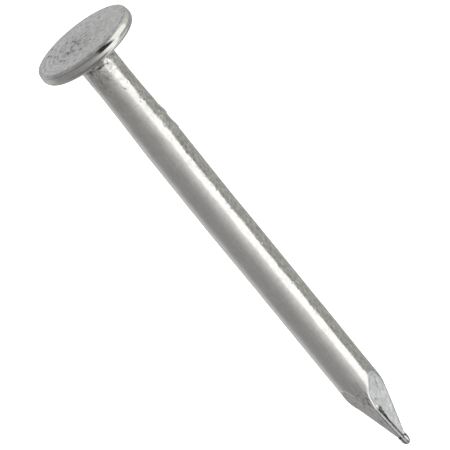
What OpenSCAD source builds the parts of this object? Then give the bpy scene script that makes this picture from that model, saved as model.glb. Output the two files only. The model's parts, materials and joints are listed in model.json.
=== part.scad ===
// Clout nail: a flat round head on a plain wire shank with a four-sided point.
// The nail stands on the Z axis with its head up. The origin is the centre of
// the head's underside, which is the face that rests on what the nail holds.
// Depths are measured down from that face, along -Z.

/* [Head] */
// Diameter of the head
head_d = 8.0; // [7:0.1:9.5]
// Thickness of the head
head_t = 1.06; // [0.9:0.02:1.5]
// Width of the rounded shoulder between the striking face and the rim
shoulder_w = 0.12; // [0.05:0.01:0.3]
// Width of the rounding between the rim and the underside
underside_w = 0.46; // [0.2:0.02:0.6]
// Radius of the fillet where the underside meets the neck
root_r = 0.22; // [0.1:0.02:0.35]

/* [Wire] */
// Diameter of the drawn wire, which is the shank's diameter
wire_d = 3.15; // [3:0.05:3.6]
// Length from the underside of the head to the tip
nail_l = 40; // [30:1:65]

/* [Neck] */
// Depth at which the squeezed neck has grown back to the wire's diameter
neck_l = 9.4; // [9:0.1:12]
// Diameter of the neck where it leaves the head
neck_root_d = 2.94; // [2.7:0.02:3]
// Diameter of the neck at its narrowest, where the gripping dies squeeze the wire most
neck_d = 2.9; // [2.6:0.02:2.94]
// Depth of the narrowest place, below which the neck grows
squeeze_l = 4.2; // [2:0.1:4.5]
// Number of steps that the teeth of the dies leave
teeth = 2; // [1:1:3]
// Distance between two steps
tooth_pitch = 1.55; // [1:0.05:1.6]
// Height of a step
tooth_h = 0.035; // [0.01:0.005:0.05]

/* [Point] */
// Length of the point, from the top of its facets to the tip
point_l = 7.23; // [5:0.01:9]
// Distance from the axis to each facet at the tip
tip_inset = 0.08; // [0.04:0.01:0.15]
// Angle on plan between a sharp ridge and the middle of the facet beside it
facet_turn = 51.2; // [45:0.1:55]
// How far the wire's own surface draws in between the facets, from their top to the nib
draw_in = 0.03; // [0.01:0.01:0.1]
// Length of the nib at the tip
nib_l = 0.8; // [0.5:0.05:1]
// Diameter of the nib at its root
nib_root_d = 0.68; // [0.5:0.02:0.8]
// Diameter of the nib at its blunt end
nib_end_d = 0.44; // [0.3:0.02:0.5]

/* [Hidden] */
$fn = 96;
STEEL = "#b9b9b6";
WORKED_STEEL = "#a9a8a4";
head_r = head_d / 2;
wire_r = wire_d / 2;
neck_r = neck_d / 2;
neck_root_r = neck_root_d / 2;
widest_z = head_t / 2;
shank_l = nail_l - neck_l - point_l;
facet_slope = atan((wire_r - tip_inset) / point_l);
facet_turns = [facet_turn, 180 - facet_turn, 180 + facet_turn, 360 - facet_turn];
arc_steps = 8;
nib_taper_l = nib_l / 2;

// Points on a quarter ellipse about (cx, cz), turning from angle a0 to angle a1
function arc(cx, cz, rx, rz, a0, a1) = [
    for (i = [0:arc_steps])
        let (a = a0 + (a1 - a0) * i / arc_steps)
            [cx + rx * cos(a), cz + rz * sin(a)]
];

// Radius of the neck below its narrowest place, without the steps
function neck_radius(depth) =
    neck_r + (wire_r - neck_r) * max(0, depth - squeeze_l) / (neck_l - squeeze_l);

// Depth of a step: the last one is half a pitch above the end of the neck
function tooth_depth(i) = neck_l - tooth_pitch * (teeth - i - 0.5);

module head() {
    color(STEEL)
        rotate_extrude()
            polygon(concat(
                [[0, -root_r], [0, head_t]],
                arc(head_r - shoulder_w, widest_z, shoulder_w, head_t - widest_z, 90, 0),
                arc(head_r - underside_w, widest_z, underside_w, widest_z, 0, -90),
                arc(neck_root_r + root_r, -root_r, root_r, root_r, 90, 180)
            ));
}

module neck() {
    steps = [
        for (i = [0:teeth - 1], inward = [0, tooth_h])
            [neck_radius(tooth_depth(i)) - inward, -tooth_depth(i)]
    ];
    color(WORKED_STEEL)
        rotate_extrude()
            polygon(concat(
                [[0, -neck_l], [0, -root_r], [neck_root_r, -root_r], [neck_r, -squeeze_l]],
                steps,
                [[wire_r, -neck_l]]
            ));
}

module shank() {
    color(STEEL)
        translate([0, 0, -neck_l - shank_l])
            cylinder(h = shank_l, r = wire_r);
}

// Everything outside one facet's plane
module facet_cutter(turn) {
    size = 2 * point_l;
    rotate([0, 0, turn])
        translate([wire_r, 0, 0])
            rotate([0, facet_slope, 0])
                translate([0, -size / 2, -size])
                    cube([size, size, size]);
}

module point() {
    color(WORKED_STEEL)
        translate([0, 0, point_l - nail_l])
            difference() {
                translate([0, 0, nib_l - point_l])
                    cylinder(h = point_l - nib_l, r1 = wire_r - draw_in, r2 = wire_r);
                for (turn = facet_turns)
                    facet_cutter(turn + 90);
            }
}

module tip_nib() {
    color(WORKED_STEEL)
        translate([0, 0, -nail_l])
            union() {
                cylinder(h = nib_taper_l, r1 = nib_end_d / 2, r2 = nib_root_d / 2);
                translate([0, 0, nib_taper_l])
                    cylinder(h = nib_l - nib_taper_l, r = nib_root_d / 2);
            }
}

head();
neck();
shank();
point();
tip_nib();
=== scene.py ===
import json
import math

import bpy
import numpy as np
from mathutils import Matrix, Vector


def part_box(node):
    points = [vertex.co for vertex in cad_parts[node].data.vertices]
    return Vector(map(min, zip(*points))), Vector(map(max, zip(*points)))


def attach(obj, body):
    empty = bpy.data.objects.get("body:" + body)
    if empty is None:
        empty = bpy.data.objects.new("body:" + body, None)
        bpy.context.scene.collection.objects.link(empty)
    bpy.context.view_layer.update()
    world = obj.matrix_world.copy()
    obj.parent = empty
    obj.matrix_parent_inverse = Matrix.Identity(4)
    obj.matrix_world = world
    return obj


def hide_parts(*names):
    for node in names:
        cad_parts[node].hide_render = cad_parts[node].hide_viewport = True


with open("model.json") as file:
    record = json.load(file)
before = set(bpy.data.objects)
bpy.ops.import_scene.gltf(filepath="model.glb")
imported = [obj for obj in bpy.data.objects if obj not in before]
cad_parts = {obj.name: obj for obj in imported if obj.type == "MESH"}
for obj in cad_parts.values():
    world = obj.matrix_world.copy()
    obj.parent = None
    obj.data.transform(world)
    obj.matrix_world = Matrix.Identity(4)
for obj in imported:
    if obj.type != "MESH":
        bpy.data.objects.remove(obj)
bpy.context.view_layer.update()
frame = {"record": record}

# Lengths below are in millimetres and angles in degrees. MM turns millimetres into Blender's metres.
# A turn is an angle round the nail's axis: 0 is -Y, where one sharp ridge of the point lies, and 90 is +X.
# A depth is measured down the nail from the underside of the head.
MM = 0.001
ALL_ROUND = (-180, 180)


# ---------------------------------------------------------------- sizes from the CAD model

def node_low(name):
    """Lowest corner of a CAD node, in millimetres."""
    return np.array(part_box(name)[0]) / MM


def node_high(name):
    """Highest corner of a CAD node, in millimetres."""
    return np.array(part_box(name)[1]) / MM


HEAD_R = node_high("head")[0]
HEAD_T = node_high("head")[2]
ROOT_DEPTH = -node_low("head")[2]
WIRE_R = next(m["dims"]["r_mm"] for m in frame["record"]["mounts"] if m["name"] == "shank")
NECK_END = -node_low("neck")[2]
POINT_TOP = -node_high("point")[2]
NIB_TOP = -node_high("tip_nib")[2]
NIB_R = node_high("tip_nib")[0]
TIP = -node_low("tip_nib")[2]

# Head: the roundings above and below its widest place, and the fillet under it
SHOULDER_W = 0.12
UNDERSIDE_W = 0.46
ROOT_FILLET = 0.22
# How far the head is off centre, towards +X, and how much wider it is that way
HEAD_SHIFT = 0.08
HEAD_OVAL = 0.018
# Neck: its radius where it leaves the head and where it is squeezed most, and the depth where that ends
NECK_ROOT_R = 1.47
NECK_R = 1.45
SQUEEZE_END = 4.0
# Steps that the teeth of the gripping dies leave: their depths, their height and the turn of their middle
TOOTH_DEPTHS = (7.3, 8.8)
TOOTH_H = 0.06
TOOTH_TURN = 94
# How far the drawn wire runs over its nominal radius
OVER_GAUGE = 0.026
# Point: the turn of the facet right of the front ridge, and how far the facets are from the axis at the nib
FACET_TURN = 51.2
FACET_REACH = 0.246


# ---------------------------------------------------------------- small mathematics

def smooth(x, low, high):
    """0 below low, 1 above high, and a smooth rise between them."""
    t = np.clip((x - low) / (high - low), 0, 1)
    return t * t * (3 - 2 * t)


def bell(x, centre, width):
    """A bell of height 1 about centre."""
    return np.exp(-((x - centre) / width) ** 2)


def angle_gap(turn, centre):
    """Signed difference of two turns, between -180 and 180."""
    return (turn - centre + 180) % 360 - 180


def near_turn(turn, centre, width):
    """A bell of height 1 about a turn."""
    return bell(angle_gap(turn, centre), 0, width)


def soft_min(a, b, blend):
    """The smaller of a and b, with the corner where they cross rounded off."""
    share = np.maximum(blend - np.abs(a - b), 0) / blend
    return np.minimum(a, b) - share * share * blend / 4


def ripple(turn, depth, seed, lobes, pitch, count=10):
    """Smooth seeded unevenness over the wire's surface, about -1 to 1."""
    rng = np.random.default_rng(seed)
    total = np.zeros(np.broadcast(turn, depth).shape)
    for _ in range(count):
        waves = rng.integers(0, lobes + 1)
        rate = rng.normal() * 2 * np.pi / pitch
        phase = rng.uniform(0, 2 * np.pi)
        total += np.cos(waves * np.radians(turn) + rate * depth + phase)
    return total / math.sqrt(count)


def marks_at(turn, depth, marks, radius=WIRE_R):
    """Height and darkening that a list of marks adds at each point of the wire: soiling together with
    painted shade, or a painted highlight where the darkening is below zero.

    A mark is (turn, depth, half width across, half length along, height, darkening by soiling and painted
    shade).
    """
    height = np.zeros(np.broadcast(turn, depth).shape)
    stain = np.zeros_like(height)
    for at_turn, at_depth, across, along, rise, dirt_and_shade in marks:
        arc = np.radians(angle_gap(turn, at_turn)) * radius
        shape = np.exp(-(arc / across) ** 2 - ((depth - at_depth) / along) ** 2)
        height += rise * shape
        stain += dirt_and_shade * shape
    return height, stain


def scattered_marks(seed, count, turns, depths, size, rise, dirt_and_shade):
    """Small seeded dents spread over a stretch of the wire, thinning out downwards, darkened by soiling and
    painted shade, or lightened as painted glints where the darkening given is below zero.
    """
    rng = np.random.default_rng(seed)
    marks = []
    for _ in range(count):
        turn = rng.uniform(*turns)
        depth = depths[0] + (depths[1] - depths[0]) * rng.uniform() ** 1.5
        across = size * rng.uniform(0.5, 1.3)
        along = across * rng.uniform(0.7, 1.8)
        marks.append((turn, depth, across, along, rise * rng.normal(), dirt_and_shade * rng.uniform()))
    return marks


# ---------------------------------------------------------------- meshes

def ring_solid(name, rings, **layers):
    """A closed solid through rings of points, first to last, with both ends capped by flat fans.

    rings has the shape (rings, columns, 3), in millimetres. Columns run anticlockwise seen from +Z
    and rings run downwards, so the faces look outwards. Each layer is a number for each point that the
    material reads: the layer of stains and painted shade darkens it, and lightens it as a painted
    highlight where it is below zero; brown tints it, rough scales its roughness and worn sets how strong
    its texture is.
    """
    count, columns = rings.shape[:2]
    centres = np.stack([rings[0].mean(0), rings[-1].mean(0)])
    points = np.concatenate([rings.reshape(-1, 3), centres]) * MM
    row = np.arange(columns)
    after = (row + 1) % columns
    upper = (np.arange(count - 1) * columns)[:, None]
    quads = np.stack([upper + row, upper + columns + row, upper + columns + after, upper + after], -1)
    last = (count - 1) * columns
    top_fan = np.stack([np.full(columns, count * columns), row, after], -1)
    end_fan = np.stack([np.full(columns, count * columns + 1), last + after, last + row], -1)
    faces = quads.reshape(-1, 4).tolist() + top_fan.tolist() + end_fan.tolist()
    mesh = bpy.data.meshes.new(name)
    mesh.from_pydata(points.tolist(), [], faces)
    mesh.polygons.foreach_set("use_smooth", [True] * len(mesh.polygons))
    ends = np.zeros(len(mesh.edges) * 2, dtype=np.int32)
    mesh.edges.foreach_get("vertices", ends)
    ends = ends.reshape(-1, 2)
    on_cap = (ends < columns).all(1) | ((ends >= last) & (ends < count * columns)).all(1)
    mesh.edges.foreach_set("use_edge_sharp", on_cap)
    for layer, values in layers.items():
        values = np.concatenate([np.broadcast_to(values, (count, columns)).ravel(), [0, 0]])
        mesh.attributes.new(layer, "FLOAT", "POINT").data.foreach_set("value", values.astype(np.float32))
    mesh.update()
    solid = bpy.data.objects.new(name, mesh)
    bpy.context.scene.collection.objects.link(solid)
    return solid


def place(piece, slot, material, *nodes):
    """Finishes a piece: its material, the CAD nodes it stands for and its body. The slot is not used."""
    piece.data.materials.append(material)
    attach(piece, "root")
    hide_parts(*nodes)


def bow(depth):
    """Sideways offset of the axis: the wire keeps a trace of the coil's bends."""
    neck_side = 0.03 * (1 - smooth(depth, 8, 13))
    return neck_side - 0.02 * bell(depth, 16.5, 3) - 0.03 * smooth(depth, 36, 39)


def round_points(turn, radius, depth):
    """Points at a turn, radius and depth about the nail's slightly bowed axis."""
    across = np.radians(turn)
    x = radius * np.sin(across) + bow(depth)
    y = -radius * np.cos(across)
    return np.stack(np.broadcast_arrays(x, y, -depth), -1)


def even_turns(columns):
    """Turns spaced evenly round the nail, as one row."""
    return (np.arange(columns) * 360 / columns)[None, :]


# ---------------------------------------------------------------- the wire

NECK_RINGS = 210
SHANK_RINGS = 380
WIRE_COLUMNS = 224
# Length over which marks fade out at the end of the neck and at both ends of the shank
END_FADE = 0.3

# Two crescents that the front edge of the gripping dies bites under the head, darkened as painted shade in
# the dents, and a raised burr beside them lightened as a painted highlight
DIE_BITES = [
    (-25, 0.9, 0.26, 0.07, -0.05, 0.9),
    (5, 1.0, 0.34, 0.06, -0.05, 0.85),
    (-8, 0.85, 0.16, 0.07, 0.03, -0.35),
]

# Where the strip light's reflection ends in front, the worn side of the wire begins
WORN_FROM = 38
# Where small marks end on the neck, and the stretch that they cover on the shank
NECK_MARKS_END = NECK_END - 0.2
SHANK_SPAN = (NECK_END, POINT_TOP - 0.07)
# Each line of a scatter: seed, count, turns, depths, size, height, darkening by soiling and painted shade
NECK_SCATTER = (
    scattered_marks(11, 340, ALL_ROUND, (0.3, 3.6), 0.05, 0.0045, 0.5)
    + scattered_marks(12, 260, ALL_ROUND, (2.0, NECK_MARKS_END), 0.06, 0.0025, 0.2)
    + scattered_marks(13, 12, (14, 36), (1.1, 6.0), 0.04, -0.01, 1.0)
    + scattered_marks(14, 90, (WORN_FROM, 115), (4.5, NECK_MARKS_END), 0.07, 0.01, 0.5)
    # These specks are lightened as painted glints
    + scattered_marks(15, 30, (WORN_FROM, 100), (0.5, NECK_MARKS_END), 0.05, 0.012, -0.5)
)
SHANK_SCATTER = (
    scattered_marks(21, 300, (WORN_FROM, 110), SHANK_SPAN, 0.06, 0.003, 0.4)
    + scattered_marks(24, 220, (WORN_FROM, WORN_FROM + 16), SHANK_SPAN, 0.045, 0.0035, 0.5)
    + scattered_marks(22, 200, ALL_ROUND, SHANK_SPAN, 0.07, 0.003, 0.12)
    # These specks are lightened as painted glints
    + scattered_marks(23, 36, (WORN_FROM, WORN_FROM + 25), SHANK_SPAN, 0.055, 0.012, -0.5)
)


def stock_radius(turn, depth):
    """Radius of the wire from the root of the head to the nib, before the point is pinched."""
    grown = np.clip((depth - SQUEEZE_END) / (NECK_END - SQUEEZE_END), 0, 1) ** 1.1
    radius = NECK_R + (WIRE_R - NECK_R) * grown
    radius = radius + (NECK_ROOT_R - NECK_R) * (1 - smooth(depth, ROOT_DEPTH, 2.2))
    for tooth in TOOTH_DEPTHS:
        rise = smooth(depth, tooth - 0.9, tooth - 0.1) * (1 - smooth(depth, tooth - 0.08, tooth + 0.12))
        radius = radius + TOOTH_H * rise * near_turn(turn, TOOTH_TURN, 34)
    radius = radius + 0.005 * ripple(turn, depth, 3, 8, 5.0)
    return radius + OVER_GAUGE


def worn_side(turn):
    """How strong the surface texture is: most where the wire rubbed in its guides."""
    return 0.22 + 1.0 * near_turn(turn, 76, 38) + 0.4 * near_turn(turn, -130, 40)


def clear_of_ends(depth, top, end, top_fade):
    """1 along a stretch and 0 at its two ends."""
    return smooth(depth, top, top + top_fade) * (1 - smooth(depth, end - END_FADE, end))


def make_neck():
    turn = even_turns(WIRE_COLUMNS)
    depth = np.linspace(ROOT_DEPTH, NECK_END, NECK_RINGS)[:, None]
    height, stain = marks_at(turn, depth, DIE_BITES + NECK_SCATTER)
    held = clear_of_ends(depth, ROOT_DEPTH, NECK_END, 0.2)
    radius = stock_radius(turn, depth) + height * held
    # Painted shade on the right just under the head, standing for the head's underside mirrored in the
    # wire, with a ragged lower edge
    under_head = 1 - smooth(depth + 0.12 * ripple(turn, depth, 5, 30, 2.0), 0.75, 1.15)
    under_head_shade = 0.45 + 0.2 * ripple(turn, depth, 6, 40, 0.5)
    # A fainter, mottled darkening lower down on the left
    patch = near_turn(turn, -30, 26) * (1 - smooth(depth, 1.6, 3.6))
    mottled = 0.15 + 0.11 * ripple(turn, depth, 7, 30, 0.6)
    stain = stain * held + under_head_shade * near_turn(turn, 30, 40) * under_head + patch * mottled
    worn = np.maximum(worn_side(turn), 1.9 * (1 - smooth(depth, 0.8, 3.4)))
    return ring_solid("neck", round_points(turn, radius, depth), stain=stain, rough=1.0, worn=worn)


def make_shank():
    turn = even_turns(WIRE_COLUMNS)
    depth = np.linspace(NECK_END, POINT_TOP, SHANK_RINGS)[:, None]
    height, stain = marks_at(turn, depth, SHANK_SCATTER)
    held = clear_of_ends(depth, NECK_END, POINT_TOP, END_FADE)
    radius = stock_radius(turn, depth) + height * held
    points = round_points(turn, radius, depth)
    return ring_solid("shank", points, stain=stain * held, rough=1.0, worn=worn_side(turn))


# ---------------------------------------------------------------- the point

POINT_RINGS = 190
POINT_COLUMNS = 416
NIB_RINGS = 40
NIB_COLUMNS = 120
# The radius at which the point's marks are as wide as they say
POINT_MARK_R = 1.2
# The fin along the front and back ridges, the flash left where the two dies meet
FIN_HEIGHT = 0.045
FIN_WIDTH = 0.042
# Where the front ridge starts, because two facets have cut away the wire between them: as a share of the
# way down the point, and as a depth
RIDGE_SHARE = WIRE_R * (1 - math.cos(math.radians(FACET_TURN))) / (WIRE_R - FACET_REACH)
RIDGE_TOP = POINT_TOP + (NIB_TOP - POINT_TOP) * RIDGE_SHARE
# Torn metal beside the top of the front ridge, darkened as painted shade in the dent, with a raised curl
# above it lightened as a painted highlight
TEAR = [(14 - i, RIDGE_TOP + 0.12 + 0.3 * i, 0.12 - 0.012 * i, 0.2, -0.045, 0.55) for i in range(6)]
CURL = [(9, RIDGE_TOP - 0.1, 0.05, 0.12, 0.05, -0.7), (18, RIDGE_TOP - 0.02, 0.05, 0.08, 0.05, -0.7)]
# Drag marks of the cutters: on the wire above the ridge, down the right facet, singly, and on the left
DRAGS = (
    [(5 - 6 * i, RIDGE_TOP - 1.5 + 0.4 * i, 0.05, 0.25, -0.01, 0.5) for i in range(3)]
    + [(FACET_TURN + 12 - 3 * i, POINT_TOP + 0.93 + 0.4 * i, 0.035, 0.17, -0.01, 0.45) for i in range(4)]
    + [(20, RIDGE_TOP - 0.6, 0.06, 0.1, -0.01, 0.6), (-22, RIDGE_TOP + 2, 0.07, 0.14, -0.01, 0.35)]
    + [(-20 - 9 * i, RIDGE_TOP + 0.2 - 0.3 * i, 0.04, 0.4, -0.005, 0.2) for i in range(3)]
)
# Specks left of the front ridge, on the wire and the facet, and on the facet right of it
FACET_SCATTER = (
    scattered_marks(25, 110, (-88, -6), (RIDGE_TOP - 1.8, NIB_TOP - 0.4), 0.07, 0.003, 0.45)
    + scattered_marks(26, 70, (6, 84), (POINT_TOP + 0.43, NIB_TOP - 0.6), 0.05, 0.003, 0.2)
)
# A radius well outside the nail, and the cosine below which a facet is too far round to cut
FAR_OUT = 9.0
EDGE_ON = 0.1


def facet_distance(depth):
    """Distance of the four facets from the axis."""
    share = (depth - POINT_TOP) / (NIB_TOP - POINT_TOP)
    return WIRE_R + OVER_GAUGE + (FACET_REACH - WIRE_R - OVER_GAUGE) * share


def facet_lift(facet, turn, depth):
    """How far a facet is off its plane: the front two start late and the right one dips above the ridge."""
    below = depth - POINT_TOP
    if facet == FACET_TURN:
        return 0.06 * (1 - smooth(below, 0.23, 1.43)) - 0.09 * bell(below, 1.63, 0.8) * bell(turn, 8, 14)
    if facet == -FACET_TURN:
        return 0.05 * (1 - smooth(below, 1.83, 3.03))
    return 0.0


def facets_radius(turn, depth):
    """Radius of the four facets alone, with rounded side ridges."""
    side = bell(np.abs(turn), 90, 24)
    cut = np.full(np.broadcast(turn, depth).shape, FAR_OUT)
    for facet in (FACET_TURN, 180 - FACET_TURN, 180 + FACET_TURN, -FACET_TURN):
        facing = np.cos(np.radians(angle_gap(turn, facet)))
        plane = facet_distance(depth) + facet_lift(facet, turn, depth) + 0.045 * side
        reach = np.where(facing > EDGE_ON, plane / np.maximum(facing, EDGE_ON), FAR_OUT)
        cut = soft_min(cut, reach, 0.01 + 0.25 * side)
    return cut


def on_facets(bite):
    """1 where the facets have cut into the wire, 0 where it is still round. bite is how deep they cut."""
    return smooth(bite, 0, 0.04)


def facet_stain(turn, depth, bite, radius):
    """Darkening and painted light on the point: painted shade in a dark band on the right side ridge, a
    painted highlight along the edge where the facet left of the front ridge meets the wire, a darker line
    just inside each facet's edge, and darkening towards the upper end of the facet right of the front
    ridge.
    """
    edge_highlight = 0.42 * near_turn(turn, -40, 34) * bell(bite, 0, 0.02)
    side_ridge_shade = 0.5 * bell(np.radians(angle_gap(turn, 88)) * radius, 0, 0.1)
    rolled_edge = 0.15 * bell(bite, 0.03, 0.05)
    upper_end = 0.12 * (1 - smooth(depth - POINT_TOP, 0.43, 2.43)) * near_turn(turn, 45, 45)
    return on_facets(bite) * (side_ridge_shade + rolled_edge + upper_end) - edge_highlight


def ridge_turns(columns):
    """Turns round the point as one row, closer together at the front and back ridges."""
    share = np.arange(columns) / columns
    return (360 * share - 0.6 * 360 / (4 * np.pi) * np.sin(4 * np.pi * share))[None, :]


def make_point():
    turn = ridge_turns(POINT_COLUMNS)
    depth = np.linspace(POINT_TOP, NIB_TOP, POINT_RINGS)[:, None]
    stock = stock_radius(turn, depth)
    cut = facets_radius(angle_gap(turn, 0), depth)
    bite = stock - cut
    side = bell(np.abs(angle_gap(turn, 0)), 90, 22)
    radius = soft_min(stock, cut, 0.012 + 0.1 * near_turn(turn, 12, 26) + 0.13 * side)
    height, stain = marks_at(turn, depth, TEAR + CURL + DRAGS + FACET_SCATTER, POINT_MARK_R)
    ragged = 1 + 0.35 * ripple(turn, depth, 9, 60, 0.25)
    radius = radius + height * ragged
    stain = stain * ragged + facet_stain(turn, depth, bite, radius)
    # Painted highlight along the fin, and painted shade in a dark line along each flank
    ridge = smooth(depth, RIDGE_TOP - 0.1, RIDGE_TOP + 0.3)
    fin = FIN_HEIGHT * ridge * (1 - smooth(depth, NIB_TOP - 0.3, NIB_TOP))
    for ridge_turn in (0, 180):
        arc = np.radians(angle_gap(turn, ridge_turn)) * radius
        radius = radius + fin * bell(arc, 0, FIN_WIDTH)
        flank_shade = 0.9 * bell(arc, 0.125, 0.065) + 0.7 * bell(arc, -0.1, 0.04)
        stain = stain + ridge * (flank_shade - 0.55 * bell(arc, 0, 0.04))
    rough = 1 + 0.4 * on_facets(bite)
    worn = worn_side(turn) + on_facets(bite)
    return ring_solid("point", round_points(turn, radius, depth), stain=stain, rough=rough, worn=worn)


def make_nib():
    turn = even_turns(NIB_COLUMNS)
    depth = np.linspace(NIB_TOP, TIP, NIB_RINGS)[:, None]
    share = (depth - NIB_TOP) / (TIP - NIB_TOP)
    radius = NIB_R - 0.015 - 0.07 * smooth(share, 0.45, 0.95) - 0.12 * share ** 10
    radius = radius + 0.06 * bell(share, 0.12, 0.2) * near_turn(turn, 100, 35)
    radius = radius + 0.02 * bell(share, 0.6, 0.22) * near_turn(turn, -85, 40)
    radius = radius + 0.016 * np.cos(np.radians(turn) * 5 + 1) + 0.01 * np.cos(np.radians(turn) * 9)
    stain = 0.5 * bell(share, 0.02, 0.08) + 0.4 * bell(share, 1.0, 0.12)
    # Dark and bright streaks, as (turn, darkening)
    for streak, dark in ((14, 1.0), (32, -0.6), (-6, -0.5), (-28, 0.85), (58, 0.8), (-58, 0.5)):
        stain = stain + dark * near_turn(turn, streak, 11)
    points = round_points(turn, radius, depth)
    points[..., 0] += 0.05 * smooth(share, 0, 0.4)
    return ring_solid("tip_nib", points, stain=stain, rough=0.6, worn=1.0)


# ---------------------------------------------------------------- the head

HEAD_COLUMNS = 440
# Rings on the face, the shoulder, the side below it, the flat underside and the fillet
FACE_RINGS = 108
SHOULDER_RINGS = 32
SIDE_RINGS = 18
UNDER_RINGS = 14
FILLET_RINGS = 8
# How much painted shade a pit in the face gets for its depth, and the most darkening that any point of the
# head can have
PIT_SHADE = 58
MOST_HEAD_SHADE = 0.75
# Four short scratches across the middle of the face, as (x, y, heading, length)
SCRATCHES = [
    (0.2, -0.6, 60, 0.8),
    (0.5, -0.2, 140, 0.6),
    (-0.4, 0.3, 80, 0.6),
    (1.6, 0.9, 75, 0.5),
]
SCRATCH_STEP = 0.05
# Spacing of the faint rings on the left of the face
TURNED_PITCH = 0.42


def face_pits():
    """Seeded pits in the striking face, as (x, y, half width, depth), thickest left of its middle."""
    rng = np.random.default_rng(33)
    pits = []
    for count, size, deep in ((260, 0.045, 0.006), (80, 0.075, 0.013)):
        for _ in range(count):
            spread = 0.9 if rng.uniform() < 0.6 else 2.0
            x, y = rng.normal(-1.0, spread), rng.normal(0, spread)
            if math.hypot(x, y) < 3.6:
                pits.append((x, y, size * rng.uniform(0.7, 1.4), deep * rng.uniform(0.3, 1.5)))
    return pits


def face_scratches():
    """Pits in wavering rows, which make the scratches."""
    rng = np.random.default_rng(35)
    row = []
    for x, y, heading, length in SCRATCHES:
        for step in np.arange(0, length, SCRATCH_STEP):
            across = math.radians(heading + rng.normal() * 8)
            row.append((x + step * math.sin(across), y - step * math.cos(across), 0.035, 0.007))
    return row


def shoulder_section(t, width, worn, bevel):
    """Distance from the axis, height and painted shade of the shoulder as t goes from the face to the
    widest place.

    It is a quarter ellipse, or where bevel is 1 two straight stretches with a crease between them.
    """
    widest = HEAD_T / 2
    round_out = np.sin(t * np.pi / 2)
    round_z = widest + (HEAD_T - widest) * np.cos(t * np.pi / 2)
    bevel_out = np.where(t < 0.5, 1.6 * t, 0.8 + 0.4 * (t - 0.5))
    bevel_z = np.where(t < 0.5, HEAD_T - 0.4 * t, HEAD_T - 0.2 - 0.66 * (t - 0.5))
    out = HEAD_R - width + width * (round_out + (bevel_out - round_out) * bevel)
    out = out - 0.02 * bevel * bell(t, 0.52, 0.05)
    z = round_z + (bevel_z - round_z) * bevel
    # Painted shade in thin dark lines at the face's edge and in the crease, with a painted highlight on the
    # band between them; where the edge is rounded instead, a painted dark line just below the face's edge
    crease = 0.3 * bell(t, -0.02, 0.03) - 0.3 * bell(t, 0.08, 0.05) + 0.45 * bell(t, 0.52, 0.05)
    outline_shade = 0.3 * bell(t, 0.15, 0.2) * (1 - worn)
    return out, z, bevel * crease + (1 - bevel) * outline_shade


def head_section(turn):
    """Distance from the axis, height and painted shade of the head's section at each turn, from face to
    neck.

    The face's edge is a bevel with a crease on one side and is hammered round on the other.
    """
    all_turns = 0 * turn
    widest = HEAD_T / 2
    worn = near_turn(turn, 34, 46)
    bevel = smooth(turn, -95, -50) * (1 - smooth(turn, -5, 25))
    width = SHOULDER_W + 0.42 * worn + 0.05 * bevel
    face = np.linspace(0.012, 1, FACE_RINGS, endpoint=False)[:, None] * (HEAD_R - width)
    t = np.linspace(0, 1, SHOULDER_RINGS, endpoint=False)[:, None]
    shoulder, shoulder_z, shoulder_stain = shoulder_section(t, width, worn, bevel)
    a = np.linspace(0, np.pi / 2, SIDE_RINGS, endpoint=False)[:, None]
    side = HEAD_R - UNDERSIDE_W + UNDERSIDE_W * np.cos(a) + all_turns
    side_z = widest - widest * np.sin(a) + all_turns
    root = NECK_ROOT_R + OVER_GAUGE + ROOT_FILLET
    under = np.linspace(HEAD_R - UNDERSIDE_W, root, UNDER_RINGS, endpoint=False)[:, None] + all_turns
    a = np.linspace(0, np.pi / 2, FILLET_RINGS)[:, None]
    fillet = root - ROOT_FILLET * np.sin(a) + all_turns
    fillet_z = -ROOT_DEPTH + ROOT_FILLET * np.cos(a) + all_turns
    out = np.concatenate([face, shoulder, side, under, fillet])
    height = np.concatenate([np.full(face.shape, HEAD_T), shoulder_z, side_z, 0 * under, fillet_z])
    stain = np.zeros_like(out)
    stain[len(face):len(face) + len(t)] = shoulder_stain
    return out, height, stain


def make_head():
    turn = angle_gap(even_turns(HEAD_COLUMNS), 0)
    out, z, stain = head_section(turn)
    x = out * np.sin(np.radians(turn))
    y = -out * np.cos(np.radians(turn))
    on_face = smooth(z, HEAD_T - 0.2, HEAD_T - 0.02) * (z > HEAD_T / 2)
    # Each pit sinks the face and is darkened with painted shade by its depth
    for pit_x, pit_y, size, deep in face_pits() + face_scratches():
        shape = np.exp(-((x - pit_x) ** 2 + (y - pit_y) ** 2) / size ** 2) * on_face
        z = z - deep * shape
        stain = stain + PIT_SHADE * deep * shape
    stain = np.minimum(stain, MOST_HEAD_SHADE)
    # Faint rings on the left, and a face that is darker in its middle than towards its edge
    turned = near_turn(turn, -85, 60) * smooth(out, 1.3, 2.1) * np.cos(out * 2 * np.pi / TURNED_PITCH)
    middle = bell(np.hypot(x + 0.8, y), 0, 1.5) - bell(out, 2.9, 0.5)
    z = z + 0.003 * on_face * turned
    stain = stain + on_face * (0.12 * turned + 0.07 * middle)
    rim = smooth(out, 1.8, HEAD_R)
    x = x * (1 + HEAD_OVAL * rim) + HEAD_SHIFT * rim + bow(0)
    y = y * (1 - HEAD_OVAL / 2 * rim)
    rough = 0.55 + 0.45 * on_face
    worn = 0.25 + 0.6 * on_face
    points = np.stack([x, y, z], -1)
    return ring_solid("head", points, stain=stain, rough=rough, worn=worn, brown=1 - on_face)


# ---------------------------------------------------------------- materials

# Tint of the oil film that the heading tool leaves round the rim
BROWN = (1.0, 0.995, 0.94)
# Height of the surface texture where its strength is 1
BUMP_DEPTH = 0.01
# What is left of the colour at least, however strong the stains and painted shade
DARKEST = 0.05
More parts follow.
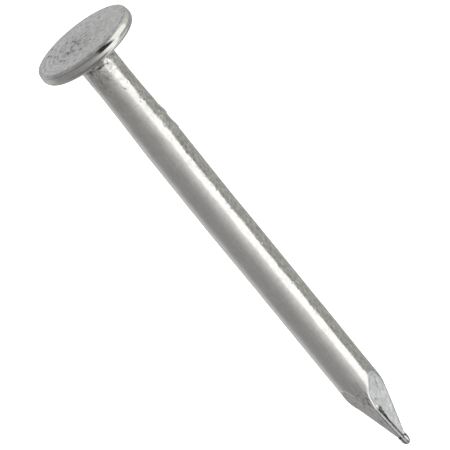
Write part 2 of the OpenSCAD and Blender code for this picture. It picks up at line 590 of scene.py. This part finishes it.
# Two tints that mix in patches, the roughness, and the strength of the mottle, the bumps and the streaks
STEELS = {
    "headed_steel": {
        "colour": (0.565, 0.555, 0.595), "tint": (0.52, 0.525, 0.53),
        "roughness": 0.3, "mottle": 0.22, "bumps": 1.0, "streaks": 0.0,
    },
    "gripped_steel": {
        "colour": (0.63, 0.627, 0.615), "tint": (0.57, 0.565, 0.55),
        "roughness": 0.15, "mottle": 0.13, "bumps": 1.1, "streaks": 0.02,
    },
    "drawn_steel": {
        "colour": (0.63, 0.627, 0.615), "tint": (0.60, 0.595, 0.585),
        "roughness": 0.12, "mottle": 0.15, "bumps": 0.8, "streaks": 0.015,
    },
    "pinched_steel": {
        "colour": (0.63, 0.63, 0.63), "tint": (0.57, 0.565, 0.56),
        "roughness": 0.15, "mottle": 0.06, "bumps": 0.5, "streaks": 0.12,
    },
}


def set_input(tree, socket, value):
    """Links a socket to an input, or sets the input to a number or colour."""
    if isinstance(value, bpy.types.NodeSocket):
        tree.links.new(value, socket)
    elif socket.type == "RGBA" and len(value) == 3:
        socket.default_value = (*value, 1)
    else:
        socket.default_value = value


def sums(tree, operation, *terms):
    """A Math node over numbers and sockets."""
    node = tree.nodes.new("ShaderNodeMath")
    node.operation = operation
    for socket, term in zip(node.inputs, terms):
        set_input(tree, socket, term)
    return node.outputs[0]


def span(tree, source, low, high, to_low=0.0, to_high=1.0, kind="SMOOTHSTEP"):
    """Maps low..high of source to to_low..to_high."""
    node = tree.nodes.new("ShaderNodeMapRange")
    node.interpolation_type = kind
    tree.links.new(source, node.inputs["Value"])
    node.inputs["From Min"].default_value = low
    node.inputs["From Max"].default_value = high
    node.inputs["To Min"].default_value = to_low
    node.inputs["To Max"].default_value = to_high
    return node.outputs["Result"]


def mixed(tree, factor, a, b, blend="MIX"):
    """Blends colour b over colour a."""
    node = tree.nodes.new("ShaderNodeMix")
    node.data_type = "RGBA"
    node.blend_type = blend
    set_input(tree, node.inputs["Factor"], factor)
    set_input(tree, node.inputs["A"], a)
    set_input(tree, node.inputs["B"], b)
    return node.outputs["Result"]


def scaled(tree, colour, factor):
    """A colour times a factor."""
    node = tree.nodes.new("ShaderNodeVectorMath")
    node.operation = "SCALE"
    tree.links.new(colour, node.inputs[0])
    tree.links.new(factor, node.inputs["Scale"])
    return node.outputs["Vector"]


def noise(tree, per_mm, along, detail, roughness):
    """Noise with so many cells to the millimetre across, and along times as many down the nail."""
    coordinates = tree.nodes.new("ShaderNodeTexCoord")
    mapping = tree.nodes.new("ShaderNodeMapping")
    mapping.inputs["Scale"].default_value = (per_mm / MM, per_mm / MM, per_mm * along / MM)
    tree.links.new(coordinates.outputs["Object"], mapping.inputs["Vector"])
    node = tree.nodes.new("ShaderNodeTexNoise")
    tree.links.new(mapping.outputs["Vector"], node.inputs["Vector"])
    node.inputs["Scale"].default_value = 1.0
    node.inputs["Detail"].default_value = detail
    node.inputs["Roughness"].default_value = roughness
    return node.outputs["Fac"]


def layer_value(tree, name):
    """What a mesh layer says at each point."""
    node = tree.nodes.new("ShaderNodeAttribute")
    node.attribute_name = name
    return node.outputs["Fac"]


def steel(name, colour, tint, roughness, mottle, bumps, streaks):
    """Steel with a mottled tint, uneven gloss, small bumps and lengthwise streaks."""
    material = bpy.data.materials.new(name)
    material.use_nodes = True
    tree = material.node_tree
    shader = tree.nodes["Principled BSDF"]
    shader.inputs["Metallic"].default_value = 1.0
    worn = layer_value(tree, "worn")
    patches = noise(tree, 1.1, 0.7, 4.0, 0.6)
    blots = noise(tree, 3.2, 0.8, 3.0, 0.6)
    grain = noise(tree, 8.0, 0.7, 3.0, 0.65)
    drawn = noise(tree, 9.0, 0.05, 3.0, 0.6)
    # Colour: two tints in patches, browned at the rim, then made lighter and darker
    tone = mixed(tree, span(tree, patches, 0.35, 0.65), colour, tint)
    tone = mixed(tree, layer_value(tree, "brown"), tone, BROWN, "MULTIPLY")
    blotted = span(tree, blots, 0.3, 0.7, -1, 1)
    grained = span(tree, grain, 0.3, 0.7, -0.7, 0.7)
    uneven = sums(tree, "ADD", blotted, grained)
    uneven = sums(tree, "MULTIPLY", uneven, sums(tree, "MULTIPLY", worn, mottle))
    shade = sums(tree, "MULTIPLY_ADD", span(tree, drawn, 0.3, 0.7, -1, 1), streaks, 1.0)
    shade = sums(tree, "ADD", shade, uneven)
    # The layer of stains and painted shade darkens the colour, and lightens it as a painted highlight where
    # it is below zero
    shade = sums(tree, "SUBTRACT", shade, layer_value(tree, "stain"))
    shade = sums(tree, "MAXIMUM", shade, DARKEST)
    tree.links.new(scaled(tree, tone, shade), shader.inputs["Base Color"])
    # Gloss that varies with the grain
    gloss = span(tree, grain, 0.3, 0.7, roughness * 0.75, roughness * 1.25)
    gloss = sums(tree, "MULTIPLY", gloss, layer_value(tree, "rough"))
    tree.links.new(gloss, shader.inputs["Roughness"])
    # Bumps from the same grain and drawing lines
    relief = sums(tree, "MULTIPLY", grain, sums(tree, "MULTIPLY", worn, bumps))
    relief = sums(tree, "MULTIPLY_ADD", drawn, streaks * 2, relief)
    bump = tree.nodes.new("ShaderNodeBump")
    bump.inputs["Distance"].default_value = BUMP_DEPTH * MM
    bump.inputs["Strength"].default_value = 1.0
    tree.links.new(relief, bump.inputs["Height"])
    tree.links.new(bump.outputs["Normal"], shader.inputs["Normal"])
    return material


# ---------------------------------------------------------------- studio

CAMERA_TURN = 10

# Brightness of the room round the nail at every elevation that no panel covers: (azimuth, radiance).
# Azimuth 0 is the camera's side and 90 is on its right.
LOW_RING = [
    (-180, 0.42), (-160, 0.54), (-142, 0.76), (-128, 0.72), (-110, 0.51), (-94, 0.40), (-60, 0.38),
    (-30, 0.43), (-10, 0.58), (0, 0.70), (10, 0.86), (20, 1.03), (30, 1.65), (64, 1.7), (68, 0.49),
    (90, 0.5), (105, 0.52), (120, 0.48), (140, 0.54), (155, 0.42), (180, 0.42),
]
# Soft panels laid over it: azimuth from, to, edge; elevation from, to, edge; radiance
PANELS = [
    (-200, 200, 10, 16, 95, 24, 0.45),  # the ceiling
    (-200, -150, 20, 2, 60, 16, 0.68),  # a card behind, on the left
    (138, 200, 20, -2, 60, 14, 0.69),  # a card behind, on the right
    (-200, -168, 12, -75, -8, 8, 1.2),  # left half of the strip light behind
    (168, 200, 12, -75, -8, 8, 1.2),  # right half of the strip light behind
    (8, 54, 10, 8, 74, 8, 0.03),  # the black flag that the head's shoulder mirrors
    (-60, 4, 30, 14, 46, 10, 0.36),  # a grey flag beside it
    (60, 132, 40, -8, 60, 14, 0.95),  # the soft light on the right
    (52, 98, 10, -8, 56, 16, 1.65),  # the strip light that the head's shoulder mirrors
    (-110, 40, 30, -100, -40, 18, 0.28),  # the dark table in front
    (64, 112, 8, -80, -29, 8, 1.0),  # the card that the point's right facet mirrors
    (-175, -95, 16, -85, -25, 6, 0.47),  # the card that the point's left facet mirrors
]
# Tint of the room on the camera's left, on its right, and low down on its right
LEFT_TINT = (1.012, 1.0, 0.985)
RIGHT_TINT = (1.0, 1.0, 0.95)
LOW_RIGHT_TINT = (0.97, 1.0, 0.995)


def in_band(tree, source, low, high, edge):
    """1 where source is between low and high, with a soft edge."""
    inside = span(tree, source, low - edge / 2, low + edge / 2)
    return sums(tree, "MULTIPLY", inside, span(tree, source, high - edge / 2, high + edge / 2, 1.0, 0.0))


def room_angles(tree):
    """Azimuth from the camera's side, and elevation, of each direction into the room."""
    heading = tree.nodes.new("ShaderNodeVectorRotate")
    heading.rotation_type = "Z_AXIS"
    heading.inputs["Angle"].default_value = math.radians(-CAMERA_TURN)
    tree.links.new(tree.nodes.new("ShaderNodeTexCoord").outputs["Generated"], heading.inputs["Vector"])
    split = tree.nodes.new("ShaderNodeSeparateXYZ")
    tree.links.new(heading.outputs["Vector"], split.inputs["Vector"])
    toward = sums(tree, "MULTIPLY", split.outputs["Y"], -1.0)
    azimuth = sums(tree, "DEGREES", sums(tree, "ARCTAN2", split.outputs["X"], toward))
    elevation = sums(tree, "DEGREES", sums(tree, "ARCSINE", split.outputs["Z"]))
    return azimuth, elevation


def room_level(tree, azimuth, elevation):
    """Brightness of the room: the ring by azimuth, with the panels over it."""
    ramp = tree.nodes.new("ShaderNodeValToRGB")
    tree.links.new(span(tree, azimuth, -180, 180, kind="LINEAR"), ramp.inputs["Fac"])
    brightest = max(radiance for _, radiance in LOW_RING)
    stops = ramp.color_ramp.elements
    while len(stops) < len(LOW_RING):
        stops.new(0.5)
    for stop, (at, radiance) in zip(stops, LOW_RING):
        stop.position = (at + 180) / 360
        stop.color = (*[radiance / brightest] * 3, 1)
    level = sums(tree, "MULTIPLY", ramp.outputs["Color"], brightest)
    for az_from, az_to, az_edge, el_from, el_to, el_edge, radiance in PANELS:
        across = in_band(tree, azimuth, az_from, az_to, az_edge)
        mask = sums(tree, "MULTIPLY", across, in_band(tree, elevation, el_from, el_to, el_edge))
        level = sums(tree, "MULTIPLY_ADD", sums(tree, "SUBTRACT", radiance, level), mask, level)
    return level


def make_world():
    """The studio, seen in reflections only: the camera itself sees plain white."""
    world = bpy.data.worlds.new("studio")
    bpy.context.scene.world = world
    world.use_nodes = True
    tree = world.node_tree
    background = tree.nodes["Background"]
    azimuth, elevation = room_angles(tree)
    right_tint = mixed(tree, span(tree, elevation, -30, -26), LOW_RIGHT_TINT, RIGHT_TINT)
    tint = mixed(tree, span(tree, azimuth, 55, 75), LEFT_TINT, right_tint)
    level = room_level(tree, azimuth, elevation)
    tree.links.new(scaled(tree, tint, level), background.inputs["Color"])
    white = tree.nodes.new("ShaderNodeBackground")
    white.inputs["Color"].default_value = (1, 1, 1, 1)
    seen = tree.nodes.new("ShaderNodeLightPath")
    choose = tree.nodes.new("ShaderNodeMixShader")
    tree.links.new(seen.outputs["Is Camera Ray"], choose.inputs["Fac"])
    tree.links.new(background.outputs[0], choose.inputs[1])
    tree.links.new(white.outputs[0], choose.inputs[2])
    tree.links.new(choose.outputs[0], tree.nodes["World Output"].inputs["Surface"])


FLOOR_HALF_M = 3.0
FLOOR_GAP = 0.02


def make_floor():
    """A white floor just under the tip, which the nail neither mirrors nor is lit by."""
    level = (-TIP - FLOOR_GAP) * MM
    corners = [(x * FLOOR_HALF_M, y * FLOOR_HALF_M, level) for x, y in ((-1, -1), (1, -1), (1, 1), (-1, 1))]
    mesh = bpy.data.meshes.new("floor")
    mesh.from_pydata(corners, [], [(0, 1, 2, 3)])
    floor = bpy.data.objects.new("floor", mesh)
    bpy.context.scene.collection.objects.link(floor)
    material = bpy.data.materials.new("white_floor")
    material.use_nodes = True
    shader = material.node_tree.nodes["Principled BSDF"]
    shader.inputs["Base Color"].default_value = (0.9, 0.9, 0.9, 1)
    shader.inputs["Roughness"].default_value = 0.9
    shader.inputs["Emission Color"].default_value = (1, 1, 1, 1)
    shader.inputs["Emission Strength"].default_value = 1.0
    mesh.materials.append(material)
    floor.visible_glossy = False
    floor.visible_diffuse = False


# ---------------------------------------------------------------- camera

CAMERA_DISTANCE = 430.3
CAMERA_ELEVATION = 20.14
CAMERA_ROLL = 39.23
CAMERA_LENS = 464.5
CAMERA_AIM = (-0.31, 0.0, -17.11)
SENSOR_WIDTH = 36


def make_camera():
    """A camera on a long lens, aimed near the nail's middle and rolled so that the nail lies aslant."""
    camera = bpy.data.objects.new("camera", bpy.data.cameras.new("camera"))
    bpy.context.scene.collection.objects.link(camera)
    camera.data.lens = CAMERA_LENS
    camera.data.sensor_width = SENSOR_WIDTH
    camera.data.clip_start = 0.01
    camera.data.clip_end = 20
    pan = Matrix.Rotation(math.radians(CAMERA_TURN), 4, "Z")
    aim = Matrix.Translation(Vector(CAMERA_AIM) * MM)
    tilt = Matrix.Rotation(math.radians(90 - CAMERA_ELEVATION), 4, "X")
    away = Matrix.Translation((0, 0, CAMERA_DISTANCE * MM))
    roll = Matrix.Rotation(math.radians(-CAMERA_ROLL), 4, "Z")
    camera.matrix_world = pan @ aim @ tilt @ away @ roll
    bpy.context.scene.camera = camera


steels = {name: steel(name, **look) for name, look in STEELS.items()}
place(make_head(), "headed_steel", steels["headed_steel"], "head")
place(make_neck(), "gripped_steel", steels["gripped_steel"], "neck")
place(make_shank(), "drawn_steel", steels["drawn_steel"], "shank")
place(make_point(), "pinched_steel", steels["pinched_steel"], "point")
place(make_nib(), "pinched_steel", steels["pinched_steel"], "tip_nib")
make_floor()
make_world()
make_camera()
bpy.context.scene.view_settings.view_transform = "Standard"
